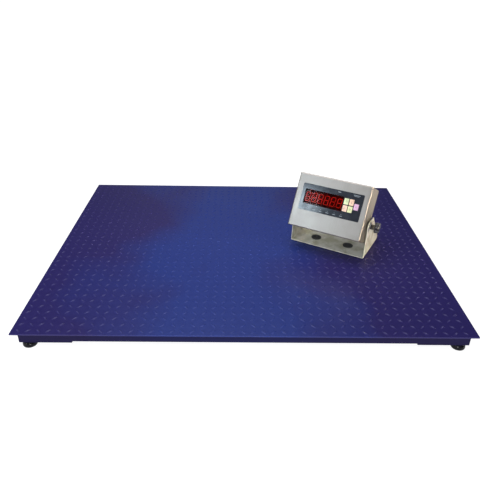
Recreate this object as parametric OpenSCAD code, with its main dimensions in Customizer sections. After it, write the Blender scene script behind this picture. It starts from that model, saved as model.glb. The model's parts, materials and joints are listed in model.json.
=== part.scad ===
// Platform shipping scale: a steel tread-plate deck on four load cells with
// levelling feet, and a stainless indicator that tilts in a U bracket.
// The origin is on the floor under the centre of the deck. +X runs along the
// deck's long side, +Y to its back, +Z up. All sizes are in millimetres.

/* [Deck] */
// Length of the deck plate, left to right
deck_w = 1500; // [1450:10:2000]
// Depth of the deck plate, front to back
deck_d = 1200; // [1000:10:1500]
// Height of the deck's top above the floor
deck_top = 80; // [80:1:84]
// Thickness of the deck plate
plate_t = 5; // [4:0.5:5]
// How far the plate overhangs the frame on every side
overhang = 18; // [17:1:30]

/* [Frame] */
// Height of the frame's rails
rail_h = 38; // [37:0.5:39]
// Thickness of the rails' steel
rail_t = 4; // [3:0.5:4]
// Width of the rails' bottom flange
flange_w = 12; // [8:1:12]
// Width of each stiffening channel under the deck
rib_w = 60; // [40:5:70]
// Number of stiffening channels on each side of the centre
ribs_per_side = 3; // [1:1:3]
// Spacing of the stiffening channels
rib_pitch = 160; // [120:5:160]
// Clear width left for the junction box between the middle channels
centre_gap = 200; // [190:5:210]
// Length of each pocket plate under a load cell
pocket_w = 170; // [150:5:190]
// Depth of each pocket plate
pocket_d = 80; // [60:5:100]
// Thickness of each pocket plate
pocket_t = 5; // [3:0.5:5]

/* [Load cells] */
// Length of each load cell
cell_l = 130; // [125:1:135]
// Width and height of each load cell
cell_s = 30; // [28:0.5:30]
// Distance from a load cell's outer end to the axis of its foot
cell_nose = 13; // [11:0.5:15]

/* [Feet] */
// Outer radius of each foot's cup
cup_r = 24; // [22:0.5:28]
// Height of each foot's cup
cup_h = 26; // [24:0.5:26]
// Radius of each foot's stud
stud_r = 5.95; // [4.5:0.05:6.95]

/* [Indicator] */
// Place of the bracket's front edge along the deck
ind_x = 336; // [-200:1:400]
// Place of the bracket's front edge across the deck
ind_y = -47; // [-300:1:100]
// Turn of the indicator about the vertical
ind_yaw = -29.5; // [-90:0.5:90]
// How far the face leans back
tilt = 28.8; // [0:0.1:60]
// Width of the housing
house_w = 297; // [290:1:320]
// Height of the housing's face
house_h = 216; // [205:1:230]
// Depth of the housing
house_d = 109; // [100:1:120]
// Thickness of the housing's sheet
sheet_t = 2; // [1.5:0.1:2]

/* [Bracket] */
// Depth of the bracket's base plate
base_d = 190; // [185:1:230]
// Thickness of the bracket's sheet
bracket_t = 3; // [2:0.5:4]
// Height of the pivot above the deck
pivot_z = 130; // [125:1:150]
// Distance of the pivot behind the bracket's front edge
pivot_y = 40; // [38:1:60]
// Height of the bracket's arms above the deck
arm_h = 157; // [150:1:175]

/* [Hidden] */
$fn = 64;
eps = 0.5;              // how far a cutting tool reaches past a face
gap = 0.1;              // air between pieces that must not touch

// Colours
deck_blue = [0.11, 0.12, 0.42];
frame_blue = [0.10, 0.10, 0.34];
foot_black = [0.04, 0.04, 0.05];
bare_steel = [0.62, 0.63, 0.65];
stainless = [0.74, 0.75, 0.74];
rubber_black = [0.06, 0.06, 0.06];
overlay_ink = [0.10, 0.13, 0.17];
window_red = [0.38, 0.06, 0.05];
board_green = [0.10, 0.32, 0.18];
plastic_grey = [0.30, 0.30, 0.32];

// Frame levels and edges
deck_under = deck_top - plate_t;
rail_z = deck_under - rail_h;
frame_x = deck_w / 2 - overhang;
frame_y = deck_d / 2 - overhang;
pocket_z = rail_z - pocket_t;
pocket_hole_r = 15;

// Stiffening channels
rib_t = 4;
rib_x0 = centre_gap / 2 + rib_w / 2;
rib_z = rail_z + rail_t;
rib_hole_r = 7;

// Load cells, placed from the axis of the foot
cell_gap = 3;
cell_side_gap = 13;
spacer_t = deck_under - rail_z - cell_s - cell_gap;
spacer_l = 60;
foot_x = frame_x - rail_t - cell_gap - cell_nose;
foot_y = frame_y - rail_t - cell_s / 2 - cell_side_gap;
cell_z = deck_under - spacer_t - cell_s;
cell_in = cell_l - cell_nose;
cell_bore_r = stud_r + 0.05;
bolt_r = 5;
bolt_hole_r = 5.3;
bolt_head_r = 8;
bolt_head_h = 10;
bolt_socket_r = 4.5;
bolt_sink_r = 8.6;
bolt_edge = 15;
bolt_pitch = 30;
bolt_x = [cell_in - bolt_edge, cell_in - bolt_edge - bolt_pitch];
strain_pocket_r = 10;
strain_pocket_depth = 8;
strain_pocket_x = 36;
lead_boss_r = 5;
lead_boss_l = 10;

// Leads inside the frame
lead_r = 2.75;
lead_z = rail_z + 21;
lead_y = 10;
lead_bend = 40;
lead_sides = 10;
lead_steps = 8;
clip_r = 5;
clip_w = 8;
clip_post = 3;
clip_parts = [0.3, 0.6];

// Junction box
jbox_w = 150;
jbox_d = 100;
jbox_h = 30;
jbox_t = 2.5;
jbox_z = deck_under - jbox_h;
jbox_seal_t = 1.5;
jbox_seal_w = 10;
jbox_lid_t = 2.5;
jbox_screw = [jbox_w / 2 - 7, jbox_d / 2 - 7];
jbox_post_r = 5;
jbox_screw_r = 1.6;
jbox_hole_r = 1.75;
jbox_head_r = 3.8;
jbox_head_h = 2;
slot_w = 0.8;
slot_depth = 1;
jbox_board = [100, 55, 1.6];
jbox_board_z = jbox_z + 17;
jbox_board_post = [44, 22];
terminals = 5;
terminal_pitch = 17;
terminal_size = [14, 10, 9];
terminal_inset = 6;
trimmers = 4;
trimmer_size = [7, 10, 6];
jbox_gland_x = 45;

// Cable glands
gland_bore_r = 3.25;
gland_neck_r = 6;
gland_hex_r = 11;
gland_hex_h = 5;
gland_cap_r = 8.5;
gland_cap_h = 11;
gland_dome_h = 3.3;
gland_dome_r = 6;
gland_nut_r = 8.8;
gland_nut_h = 4;
gland_clear = 0.1;

// Feet
cup_edge = 3;
cup_dome_r = 26;
cup_dome_z = 2;
stud_disc_r = 14;
stud_disc_z = 8;
stud_disc_h = 4;
stud_top = deck_under - 7;
collar_r = 11;
collar_z = 27;
collar_h = 6;

// Bracket, in its own frame: front edge on y = 0, deck on z = 0
side_gap = 6;
pad_t = 3;
pad_r = 11;
pad_inset = [22, 25];
bend_r = 5;
base_z = pad_t;
base_w = house_w + 2 * (side_gap + bracket_t);
arm_in = base_w / 2 - bracket_t;
arm_front = 8;
arm_back = 87;
arm_foot = 20;
arm_round = 20;
screw_hole_r = 3;
screw_span = 140;
grommet_y = 66;
grommet_x = 70;
grommet_hole_r = 18;
grommet_lip_r = 21;
grommet_in_r = 13;
grommet_lip = 2.2;
membrane_t = 1.2;
arm_hole_r = 4.3;
washer_r = 12;
outer_washer_t = 1.5;

// Housing, in its own frame: pivot axis on X, face towards -Y, upright
face_y = -87;
house_low = -70;
house_high = house_low + house_h;
house_mid = (house_low + house_high) / 2;
back_y = face_y + house_d;
cover_t = 2;
seal_t = 1.5;
cover_y = back_y - cover_t;
shell_y = cover_y - seal_t;
lip_t = 3;
lip_w = 14;
corner_r = 3;
least_corner_r = 1;
seal_inset = 1;
fold_r = 4;
rear_inset = 8;
rear_screw_r = 1.9;
rear_hole_r = 2.1;
rear_head_r = 3.9;
rear_head_h = 2.4;
rear_screw_l = 11;
side_x = house_w / 2;

// Pivot hardware along X
boss_flange_r = 12;
boss_flange_t = 4;
boss_r = 9;
boss_l = 10;
pin_r = 4;
pin_hole_r = 4.05;
pin_in = 12;
head_x = arm_in + bracket_t + outer_washer_t + gap;
screw_head_r = 10;
screw_head_l = 5;
screw_socket_r = 3;
screw_socket_l = 3;
hub_r = 11;
hub_l = 17;
grip_r = 17.5;
grip_t = 17;
lobe_r = 6.5;
lobe_at = 16.7;
lobes = 6;
cap_r = 10;
cap_t = 1.5;
knob_hole_l = 22;

// Face furniture
overlay_t = 0.8;
overlay_w = 249.5;
overlay_h = 106;
overlay_x = 1.5;
overlay_z = 54;
overlay_r = 4;
window_w = 160;
window_h = 58;
window_x = -29.7;
window_z = 56.4;
window_flange = 4;
window_flange_t = 1.5;
window_fit = 0.2;
key_w = 17.8;
key_h = 23.8;
key_t = 1.2;
key_fit = 0.3;
key_travel_gap = 0.6;
key_stem_r = 3;
key_stem_end = -83.9;
key_cols = [62, 83, 104.3];
key_rows = [69.7, 42.1];
key_round = 1.5;
key_at = [
    [key_cols[0], key_rows[0]], [key_cols[1], key_rows[0]],
    [key_cols[0], key_rows[1]], [key_cols[1], key_rows[1]],
    [key_cols[2], (key_rows[0] + key_rows[1]) / 2]
];

// Electronics
board_t = 1.6;
digit_count = 6;
digit_w = 22;
digit_h = 38;
digit_pitch = 25.4;
digit_front = -83.4;
display_board_y = -73;
display_board = [172, 72];
display_header = [100, 8];
keypad_board_y = -83;
keypad_board_size = [64, 60];
keypad_board_at = [84, 56];
keypad_header = [10, 30];
dome_r = 4;
dome_t = 0.3;
main_board_y = -60;
main_board_size = [236, 112];
board_hole_r = 1.6;
chip_size = [28, 28, 4];
chip_at = [-20, 10];
converter_size = [20, 12, 3];
converter_at = [35, 14];
capacitor_r = 6;
capacitor_h = 16;
capacitors = 3;
capacitor_pitch = 15;
capacitor_at = [70, 30];
socket_size = [20, 10, 11];
sockets = 4;
socket_pitch = 24;
socket_at = [-90, -44];
standoff_r = 3;
standoff_at = [112, 50];
battery_size = [101, 70, 47];
battery_at = [-125, -80];
tab_size = [6, 4, 6];
tab_inset = [15, 8];
core_size = [60, 40, 44];
core_at = [25, -58];
coil_size = [30, 54, 30];
glands_x = [-80, -45];
glands_z = -43;

// Power switch, in the rear cover
switch_x = 70;
switch_z = -40;
switch_bezel = [24, 18, 1.5];
switch_body = [22, 14, 20];
switch_axis_y = 18.5;
rocker_w = 17;
rocker_d = 10;
rocker_low = -2;
rocker_edge = 5.2;
rocker_dip = 4;
rocker_turn = 8;
rocker_well = [20.4, 10.6];
rocker_well_y = 14.5;
trunnion_r = 1.5;
trunnion_l = 12;
trunnion_fit = 0.06;

// ---------------------------------------------------------------- helpers

module block(low, high) {
    translate(low) cube(high - low);
}

module rect(low, high) {
    translate(low) square(high - low);
}

// A rectangle with round corners, centred
module round_rect(w, h, r) {
    square([w - 2 * r, h], center = true);
    square([w, h - 2 * r], center = true);
    for (sx = [-1, 1], sy = [-1, 1])
        translate([sx * (w / 2 - r), sy * (h / 2 - r)]) circle(r);
}

// Extrudes an XZ outline between two values of y
module along_y(y0, y1) {
    translate([0, y1, 0]) rotate([90, 0, 0]) linear_extrude(y1 - y0) children();
}

// Extrudes a YZ outline between two values of x
module along_x(x0, x1) {
    translate([x0, 0, 0]) rotate([90, 0, 90]) linear_extrude(x1 - x0) children();
}

// A cylinder along +X, from x0 to x1
module rod_x(x0, x1, r) {
    translate([x0, 0, 0]) rotate([0, 90, 0]) cylinder(h = x1 - x0, r = r);
}

// A cylinder along +Y, from y0 to y1, at a place in XZ
module rod_y(y0, y1, r, at) {
    translate([at[0], y0, at[1]]) rotate([-90, 0, 0]) cylinder(h = y1 - y0, r = r);
}

// Puts a left-hand corner piece, drawn with +X and +Y inwards, at a corner
module at_corner(sx, sy) {
    translate([sx * foot_x, sy * foot_y, 0])
        mirror([sx > 0 ? 1 : 0, 0, 0])
            mirror([0, sy > 0 ? 1 : 0, 0]) children();
}

module each_corner() {
    for (sx = [-1, 1], sy = [-1, 1]) at_corner(sx, sy) children();
}

module at_bracket() {
    translate([ind_x, ind_y, deck_top]) rotate([0, 0, ind_yaw]) children();
}

module at_housing() {
    at_bracket() translate([0, pivot_y, pivot_z]) rotate([-tilt, 0, 0]) children();
}

module both_sides() {
    for (side = [0, 1]) mirror([side, 0, 0]) children();
}

// A cable gland along +Z through a wall whose outer face is at z = 0
module gland(wall) {
    difference() {
        union() {
            cylinder(h = gland_hex_h, r = gland_hex_r, $fn = 6);
            translate([0, 0, gland_hex_h])
                cylinder(h = gland_cap_h - gland_dome_h, r = gland_cap_r);
            translate([0, 0, gland_hex_h + gland_cap_h - gland_dome_h])
                cylinder(h = gland_dome_h, r1 = gland_cap_r, r2 = gland_dome_r);
            translate([0, 0, -wall]) cylinder(h = wall, r = gland_neck_r);
            translate([0, 0, -wall - gland_nut_h])
                cylinder(h = gland_nut_h, r = gland_nut_r, $fn = 6);
        }
        translate([0, 0, -wall - gland_nut_h - eps])
            cylinder(h = wall + gland_nut_h + gland_hex_h + gland_cap_h + 2 * eps, r = gland_bore_r);
    }
}

module gland_hole(wall) {
    translate([0, 0, -wall - eps])
        cylinder(h = wall + 2 * eps, r = gland_neck_r + gland_clear);
}

// ---------------------------------------------------------------- deck and frame

module deck_plate() {
    color(deck_blue)
        block([-deck_w / 2, -deck_d / 2, deck_under], [deck_w / 2, deck_d / 2, deck_top]);
}

module long_rail() {
    flange_x = frame_x - rail_t;
    block([-frame_x, -frame_y, rail_z], [frame_x, -frame_y + rail_t, deck_under]);
    block([-flange_x, -frame_y, rail_z], [flange_x, -frame_y + rail_t + flange_w, rail_z + rail_t]);
}

module short_rail() {
    web_y = frame_y - rail_t;
    flange_y = frame_y - pocket_d;
    block([-frame_x, -web_y, rail_z], [-frame_x + rail_t, web_y, deck_under]);
    block([-frame_x, -flange_y, rail_z], [-frame_x + rail_t + flange_w, flange_y, rail_z + rail_t]);
}

module front_rail() {
    color(frame_blue) long_rail();
}

module rear_rail() {
    color(frame_blue) difference() {
        mirror([0, 1, 0]) long_rail();
        translate([0, frame_y, lead_z]) rotate([-90, 0, 0]) gland_hole(rail_t);
    }
}

module left_rail() {
    color(frame_blue) short_rail();
}

module right_rail() {
    color(frame_blue) mirror([1, 0, 0]) short_rail();
}

// One channel, open at the top, welded to the underside of the deck
module rib(x) {
    rib_y = frame_y - rail_t;
    difference() {
        block([x - rib_w / 2, -rib_y, rib_z], [x + rib_w / 2, rib_y, deck_under]);
        block([x - rib_w / 2 + rib_t, -rib_y - eps, rib_z + rib_t],
              [x + rib_w / 2 - rib_t, rib_y + eps, deck_under + eps]);
        for (sy = [-1, 1])
            translate([x - rib_w / 2 - eps, sy * (foot_y - lead_y), lead_z])
                rod_x(0, rib_w + 2 * eps, rib_hole_r);
    }
}

module deck_ribs() {
    color(frame_blue)
        for (side = [-1, 1], i = [0 : ribs_per_side - 1]) rib(side * (rib_x0 + i * rib_pitch));
}

module pocket_plates() {
    out_x = frame_x - foot_x;
    out_y = frame_y - foot_y;
    color(frame_blue) each_corner() difference() {
        block([-out_x, -out_y, pocket_z], [pocket_w - out_x, pocket_d - out_y, rail_z]);
        translate([0, 0, pocket_z - eps]) cylinder(h = pocket_t + 2 * eps, r = pocket_hole_r);
    }
}

// ---------------------------------------------------------------- load cells and leads

module load_cell(sx, sy) {
    color(bare_steel) at_corner(sx, sy) difference() {
        union() {
            block([-cell_nose, -cell_s / 2, cell_z], [cell_in, cell_s / 2, cell_z + cell_s]);
            translate([cell_in, lead_y, lead_z]) rod_x(0, lead_boss_l, lead_boss_r);
        }
        translate([0, 0, cell_z - eps]) cylinder(h = cell_s + 2 * eps, r = cell_bore_r);
        for (x = bolt_x) translate([x, 0, cell_z - eps]) {
            cylinder(h = cell_s + 2 * eps, r = bolt_hole_r);
            cylinder(h = bolt_head_h + 2 * eps, r = bolt_sink_r);
        }
        for (side = [-1, 1])
            rod_y(side * (cell_s / 2 - strain_pocket_depth / 2) - strain_pocket_depth / 2,
                  side * (cell_s / 2 - strain_pocket_depth / 2) + strain_pocket_depth / 2,
                  strain_pocket_r, [strain_pocket_x, cell_z + cell_s / 2]);
    }
}

module load_cell_fl() { load_cell(-1, -1); }
module load_cell_fr() { load_cell(1, -1); }
module load_cell_rl() { load_cell(-1, 1); }
module load_cell_rr() { load_cell(1, 1); }

module load_cell_spacers() {
    color(bare_steel) each_corner() difference() {
        block([cell_in - spacer_l, -cell_s / 2, deck_under - spacer_t], [cell_in, cell_s / 2, deck_under]);
        for (x = bolt_x) translate([x, 0, deck_under - spacer_t - eps])
            cylinder(h = spacer_t + 2 * eps, r = bolt_hole_r);
    }
}

module load_cell_bolts() {
    head_z = cell_z + gap;
    seat_z = cell_z + bolt_head_h + eps;
    color(bare_steel) each_corner() for (x = bolt_x) translate([x, 0, 0]) difference() {
        union() {
            translate([0, 0, head_z]) cylinder(h = seat_z - head_z, r = bolt_head_r);
            translate([0, 0, seat_z]) cylinder(h = deck_under - gap - seat_z, r = bolt_r);
        }
        translate([0, 0, head_z - eps]) cylinder(h = bolt_head_h / 2, r = bolt_socket_r, $fn = 6);
    }
}

// One load cell's lead in the back right quarter: along X through the
// channels, round one bend and along Y into its gland
function lead_path() = let (
    start_x = foot_x - cell_in - lead_boss_l,
    run_y = foot_y - lead_y,
    end_y = jbox_d / 2 + gland_hex_h,
    centre = [jbox_gland_x + lead_bend, run_y - lead_bend]
) concat(
    [[start_x, run_y, 90]],
    [for (i = [0 : lead_steps]) let (a = 90 + 90 * i / lead_steps)
        [centre[0] + lead_bend * cos(a), centre[1] + lead_bend * sin(a), a]],
    [[jbox_gland_x, end_y, 180]]
);

// Sweeps a round section along points that carry the direction of their radius
module swept(path, r) {
    n = lead_sides;
    points = [for (p = path, k = [0 : n - 1]) let (a = 360 * k / n)
        [p[0] + r * cos(a) * cos(p[2]), p[1] + r * cos(a) * sin(p[2]), lead_z + r * sin(a)]];
    last = (len(path) - 1) * n;
    sides = [for (i = [0 : len(path) - 2], k = [0 : n - 1])
        [i * n + k, i * n + (k + 1) % n, (i + 1) * n + (k + 1) % n, (i + 1) * n + k]];
    polyhedron(points, concat(
        sides,
        [[for (k = [0 : n - 1]) n - 1 - k]],
        [[for (k = [0 : n - 1]) last + k]]
    ));
}

module each_quarter() {
    for (mx = [0, 1], my = [0, 1]) mirror([mx, 0, 0]) mirror([0, my, 0]) children();
}

module load_cell_cables() {
    color(rubber_black) each_quarter() swept(lead_path(), lead_r);
}

// A clip round the lead, with a post up to the deck
module clip() {
    translate([-clip_w / 2, 0, lead_z]) difference() {
        union() {
            rod_x(0, clip_w, clip_r);
            block([0, -clip_post / 2, clip_r / 2], [clip_w, clip_post / 2, deck_under - lead_z]);
        }
        translate([-eps, 0, 0]) rod_x(0, clip_w + 2 * eps, lead_r + gap);
    }
}

module cable_clips() {
    run_y = foot_y - lead_y;
    color(plastic_grey) each_quarter() {
        for (i = [0 : ribs_per_side - 1])
            translate([rib_x0 + (i + 0.5) * rib_pitch, run_y, 0]) clip();
        for (part = clip_parts)
            translate([jbox_gland_x, run_y * part + jbox_d / 2, 0]) rotate([0, 0, 90]) clip();
    }
}

// ---------------------------------------------------------------- junction box

module jbox_corners() {
    for (sx = [-1, 1], sy = [-1, 1]) translate([sx * jbox_screw[0], sy * jbox_screw[1], 0]) children();
}

// Every gland's place on the box, looking outwards along its local +Z
module jbox_gland_places() {
    for (sx = [-1, 1], sy = [0, 180])
        rotate([0, 0, sy]) translate([sx * jbox_gland_x, jbox_d / 2, lead_z]) rotate([-90, 0, 0]) children();
    translate([0, jbox_d / 2, lead_z]) rotate([-90, 0, 0]) children();
}

module junction_box() {
    in = [jbox_w / 2 - jbox_t, jbox_d / 2 - jbox_t];
    color(plastic_grey) difference() {
        union() {
            difference() {
                block([-jbox_w / 2, -jbox_d / 2, jbox_z], [jbox_w / 2, jbox_d / 2, deck_under]);
                block([-in[0], -in[1], jbox_z - eps], [in[0], in[1], deck_under - jbox_t]);
            }
            jbox_corners() translate([0, 0, jbox_z]) cylinder(h = jbox_h - jbox_t, r = jbox_post_r);
            for (sx = [-1, 1], sy = [-1, 1])
                translate([sx * jbox_board_post[0], sy * jbox_board_post[1], jbox_board_z + jbox_board[2]])
                    cylinder(h = deck_under - jbox_t - jbox_board_z - jbox_board[2], r = standoff_r);
        }
        jbox_corners() translate([0, 0, jbox_z - eps]) cylinder(h = jbox_h / 2 + eps, r = jbox_hole_r);
        jbox_gland_places() gland_hole(jbox_t);
    }
}

module junction_box_gasket() {
    z = jbox_z - jbox_seal_t;
    in = [jbox_w / 2 - jbox_seal_w, jbox_d / 2 - jbox_seal_w];
    color(rubber_black) difference() {
        block([-jbox_w / 2, -jbox_d / 2, z], [jbox_w / 2, jbox_d / 2, jbox_z]);
        block([-in[0], -in[1], z - eps], [in[0], in[1], jbox_z + eps]);
        jbox_corners() translate([0, 0, z - eps]) cylinder(h = jbox_seal_t + 2 * eps, r = jbox_hole_r);
    }
}

module junction_box_lid() {
    z = jbox_z - jbox_seal_t - jbox_lid_t;
    color(plastic_grey) difference() {
        block([-jbox_w / 2, -jbox_d / 2, z], [jbox_w / 2, jbox_d / 2, z + jbox_lid_t]);
        jbox_corners() translate([0, 0, z - eps]) cylinder(h = jbox_lid_t + 2 * eps, r = jbox_hole_r);
    }
}

module junction_box_screws() {
    z = jbox_z - jbox_seal_t - jbox_lid_t;
    color(bare_steel) jbox_corners() difference() {
        union() {
            translate([0, 0, z - jbox_head_h]) cylinder(h = jbox_head_h, r = jbox_head_r);
            translate([0, 0, z]) cylinder(h = jbox_h / 2, r = jbox_screw_r);
        }
        block([-jbox_head_r - eps, -slot_w / 2, z - jbox_head_h - eps],
              [jbox_head_r + eps, slot_w / 2, z - jbox_head_h + slot_depth]);
    }
}

// A component of the summing board, hanging from its underside
module hanging(size, at) {
    translate([at[0] - size[0] / 2, at[1] - size[1] / 2, jbox_board_z - size[2]]) cube(size);
}

module junction_board() {
    color(board_green) {
        translate([-jbox_board[0] / 2, -jbox_board[1] / 2, jbox_board_z]) cube(jbox_board);
        for (i = [0 : terminals - 1], side = [-1, 1])
            hanging(terminal_size, [
                (i - (terminals - 1) / 2) * terminal_pitch, side * (jbox_board[1] / 2 - terminal_inset)
            ]);
        for (i = [0 : trimmers - 1])
            hanging(trimmer_size, [(i - (trimmers - 1) / 2) * terminal_pitch, 0]);
    }
}

module junction_box_glands() {
    color(rubber_black) jbox_gland_places() gland(jbox_t);
}

module outlet_gland() {
    color(rubber_black) translate([0, frame_y, lead_z]) rotate([-90, 0, 0]) gland(rail_t);
}

// ---------------------------------------------------------------- feet

module foot_stud(sx, sy) {
    color(bare_steel) at_corner(sx, sy) {
        translate([0, 0, stud_disc_z]) cylinder(h = stud_disc_h, r = stud_disc_r);
        translate([0, 0, stud_disc_z]) cylinder(h = stud_top - stud_disc_z, r = stud_r);
        translate([0, 0, collar_z]) cylinder(h = collar_h, r = collar_r, $fn = 6);
    }
}

module foot_cup(sx, sy) {
    color(foot_black) at_corner(sx, sy) difference() {
        intersection() {
            union() {
                cylinder(h = cup_edge, r1 = cup_r - cup_edge, r2 = cup_r);
                translate([0, 0, cup_edge]) cylinder(h = cup_h - cup_edge, r = cup_r);
            }
            translate([0, 0, cup_dome_z]) sphere(cup_dome_r);
        }
        translate([0, 0, stud_disc_z - gap])
            cylinder(h = stud_disc_h + 2 * gap, r = stud_disc_r + gap);
        translate([0, 0, stud_disc_z]) cylinder(h = cup_h, r = stud_r + 2 * gap);
    }
}

module foot_stud_fl() { foot_stud(-1, -1); }
module foot_stud_fr() { foot_stud(1, -1); }
module foot_stud_rl() { foot_stud(-1, 1); }
module foot_stud_rr() { foot_stud(1, 1); }
module foot_cup_fl() { foot_cup(-1, -1); }
module foot_cup_fr() { foot_cup(1, -1); }
module foot_cup_rl() { foot_cup(-1, 1); }
module foot_cup_rr() { foot_cup(1, 1); }

// ---------------------------------------------------------------- bracket

// Where a line from a point touches the rear side of a circle
function touch(p, c, r) = let (d = p - c, a = atan2(d[1], d[0]) + acos(r / norm(d)))
    c + r * [cos(a), sin(a)];

// Side view of an arm in YZ: upright front edge, raked back, round top
module arm_outline() {
    front = [arm_front + arm_round, arm_h - arm_round];
    back = [arm_back - arm_round, arm_h - arm_round];
    heel = [base_d, arm_foot];
    polygon([
        [0, base_z], [base_d, base_z], heel, touch(heel, back, arm_round),
        back, [back[0], arm_h], [front[0], arm_h], front, [arm_front, front[1]]
    ]);
    translate(front) circle(arm_round);
    translate(back) circle(arm_round);
}

// Front view of the bent sheet in XZ: base, two bends and two arms
module sheet_outline() {
    out_x = base_w / 2;
    rect([-out_x + bend_r, base_z], [out_x - bend_r, base_z + bracket_t]);
    both_sides() {
        rect([arm_in, base_z + bend_r], [out_x, arm_h + eps]);
        intersection() {
            translate([out_x - bend_r, base_z + bend_r]) difference() {
                circle(bend_r);
                circle(bend_r - bracket_t);
            }
            rect([out_x - bend_r, base_z], [out_x, base_z + bend_r]);
        }
    }
}

module base_holes(r, at_y) {
    for (side = [-1, 1], y = at_y)
        translate([side * grommet_x, y, base_z - eps]) cylinder(h = bracket_t + 2 * eps, r = r);
}

module bracket() {
    mid = base_d / 2;
    color(stainless) at_bracket() difference() {
        intersection() {
            along_y(0, base_d) sheet_outline();
            along_x(-base_w / 2 - eps, base_w / 2 + eps) arm_outline();
        }
        base_holes(grommet_hole_r, [grommet_y]);
        base_holes(screw_hole_r, [mid - screw_span / 2, mid + screw_span / 2]);
        translate([0, pivot_y, pivot_z])
            both_sides() rod_x(arm_in - eps, base_w / 2 + eps, arm_hole_r);
    }
}

module bracket_pads() {
    color(rubber_black) at_bracket()
        for (sx = [-1, 1], y = [pad_inset[1], base_d - pad_inset[1]])
            translate([sx * (base_w / 2 - pad_inset[0]), y, 0]) cylinder(h = pad_t, r = pad_r);
}

// Blind grommets: a lip on each side of the sheet and a membrane across the hole
module bracket_grommets() {
    low = base_z - grommet_lip;
    mid = base_z + (bracket_t - membrane_t) / 2;
    high = base_z + bracket_t;
    color(rubber_black) at_bracket() for (side = [-1, 1]) translate([side * grommet_x, grommet_y, 0])
        difference() {
            union() {
                translate([0, 0, low]) cylinder(h = grommet_lip, r = grommet_lip_r);
                translate([0, 0, base_z]) cylinder(h = bracket_t, r = grommet_hole_r - gap);
                translate([0, 0, high]) cylinder(h = grommet_lip, r = grommet_lip_r);
            }
            translate([0, 0, low - eps]) cylinder(h = mid - low + eps, r = grommet_in_r);
            translate([0, 0, mid + membrane_t]) cylinder(h = high + grommet_lip - mid, r = grommet_in_r);
        }
}

// A thin washer inside each arm and a steel one outside it
module pivot_washers() {
    inner = [side_x + boss_flange_t + gap, arm_in];
    outer = [arm_in + bracket_t, arm_in + bracket_t + outer_washer_t];
    color(bare_steel) at_bracket() translate([0, pivot_y, pivot_z]) both_sides()
        for (span = [inner, outer]) difference() {
            rod_x(span[0], span[1], washer_r);
            rod_x(span[0] - eps, span[1] + eps, arm_hole_r);
        }
}

// ---------------------------------------------------------------- housing

module house_outline(inset) {
    translate([0, house_mid])
        round_rect(house_w - 2 * inset, house_h - 2 * inset, max(corner_r - inset, least_corner_r));
}

// A rectangle whose two corners on its low side along the second axis are round
module fold_outline(a0, a1, b0, b1, r) {
    rect([a0, b0 + r], [a1, b1]);
    rect([a0 + r, b0], [a1 - r, b1]);
    for (a = [a0 + r, a1 - r]) translate([a, b0 + r]) circle(r);
}

// The housing's solid form: round corners, and folds round the face
module housing_form(inset, y1) {
    x = house_w / 2 - inset;
    low = house_low + inset;
    high = house_high - inset;
    y0 = face_y + inset;
    r = fold_r - inset;
    intersection() {
        along_y(y0, y1) house_outline(inset);
        translate([0, 0, low]) linear_extrude(high - low) fold_outline(-x, x, y0, y1, r);
        along_x(-x, x) mirror([1, -1, 0]) fold_outline(low, high, y0, y1, r);
    }
}

function rear_screw_places() = let (
    x = house_w / 2 - rear_inset,
    low = house_low + rear_inset,
    high = house_high - rear_inset
) [for (sx = [-1, 0, 1], z = [low, house_mid, high]) if (sx != 0 || z != house_mid) [sx * x, z]];

module rear_holes(y0, y1) {
    for (at = rear_screw_places()) rod_y(y0 - eps, y1 + eps, rear_hole_r, at);
}

module window_cut(y0, y1, grow) {
    along_y(y0, y1) translate([window_x, window_z])
        square([window_w + 2 * grow, window_h + 2 * grow], center = true);
}

module housing_shell() {
    color(stainless) at_housing() difference() {
        union() {
            difference() {
                housing_form(0, shell_y);
                housing_form(sheet_t, shell_y + eps);
            }
            along_y(shell_y - lip_t, shell_y) difference() {
                house_outline(sheet_t / 2);
                house_outline(lip_w);
            }
        }
        window_cut(face_y - eps, face_y + sheet_t + eps, window_fit);
        for (at = key_at) rod_y(face_y - eps, face_y + sheet_t + eps, key_stem_r + key_fit, at);
        rear_holes(shell_y - lip_t, shell_y);
        both_sides() rod_x(side_x - sheet_t - eps, side_x + eps, boss_r + gap);
    }
}

module rear_gasket() {
    color(rubber_black) at_housing() difference() {
        along_y(shell_y, cover_y) difference() {
            house_outline(seal_inset);
            house_outline(lip_w);
        }
        rear_holes(shell_y, cover_y);
    }
}

module rear_cover() {
    color(stainless) at_housing() difference() {
        along_y(cover_y, back_y) house_outline(0);
        rear_holes(cover_y, back_y);
        for (x = glands_x) translate([x, back_y, glands_z]) rotate([-90, 0, 0]) gland_hole(cover_t);
        along_y(cover_y - eps, back_y + eps) translate([switch_x, switch_z])
            square([switch_body[0] + gap, switch_body[1] + gap], center = true);
    }
}

module rear_screws() {
    color(bare_steel) at_housing() for (at = rear_screw_places()) difference() {
        union() {
            rod_y(back_y, back_y + rear_head_h, rear_head_r, at);
            rod_y(back_y - rear_screw_l, back_y, rear_screw_r, at);
        }
        translate([at[0], back_y + rear_head_h / 2, at[1]])
            rotate([-90, 0, 0]) cylinder(h = rear_head_h, r = rear_screw_r, $fn = 6);
    }
}

module pivot_bosses() {
    wall_in = side_x - sheet_t;
    color(stainless) at_housing() both_sides() difference() {
        union() {
            rod_x(side_x, side_x + boss_flange_t, boss_flange_r);
            rod_x(wall_in - boss_l, side_x, boss_r);
        }
        rod_x(wall_in - boss_l - eps, side_x + boss_flange_t + eps, pin_hole_r);
    }
}

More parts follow.
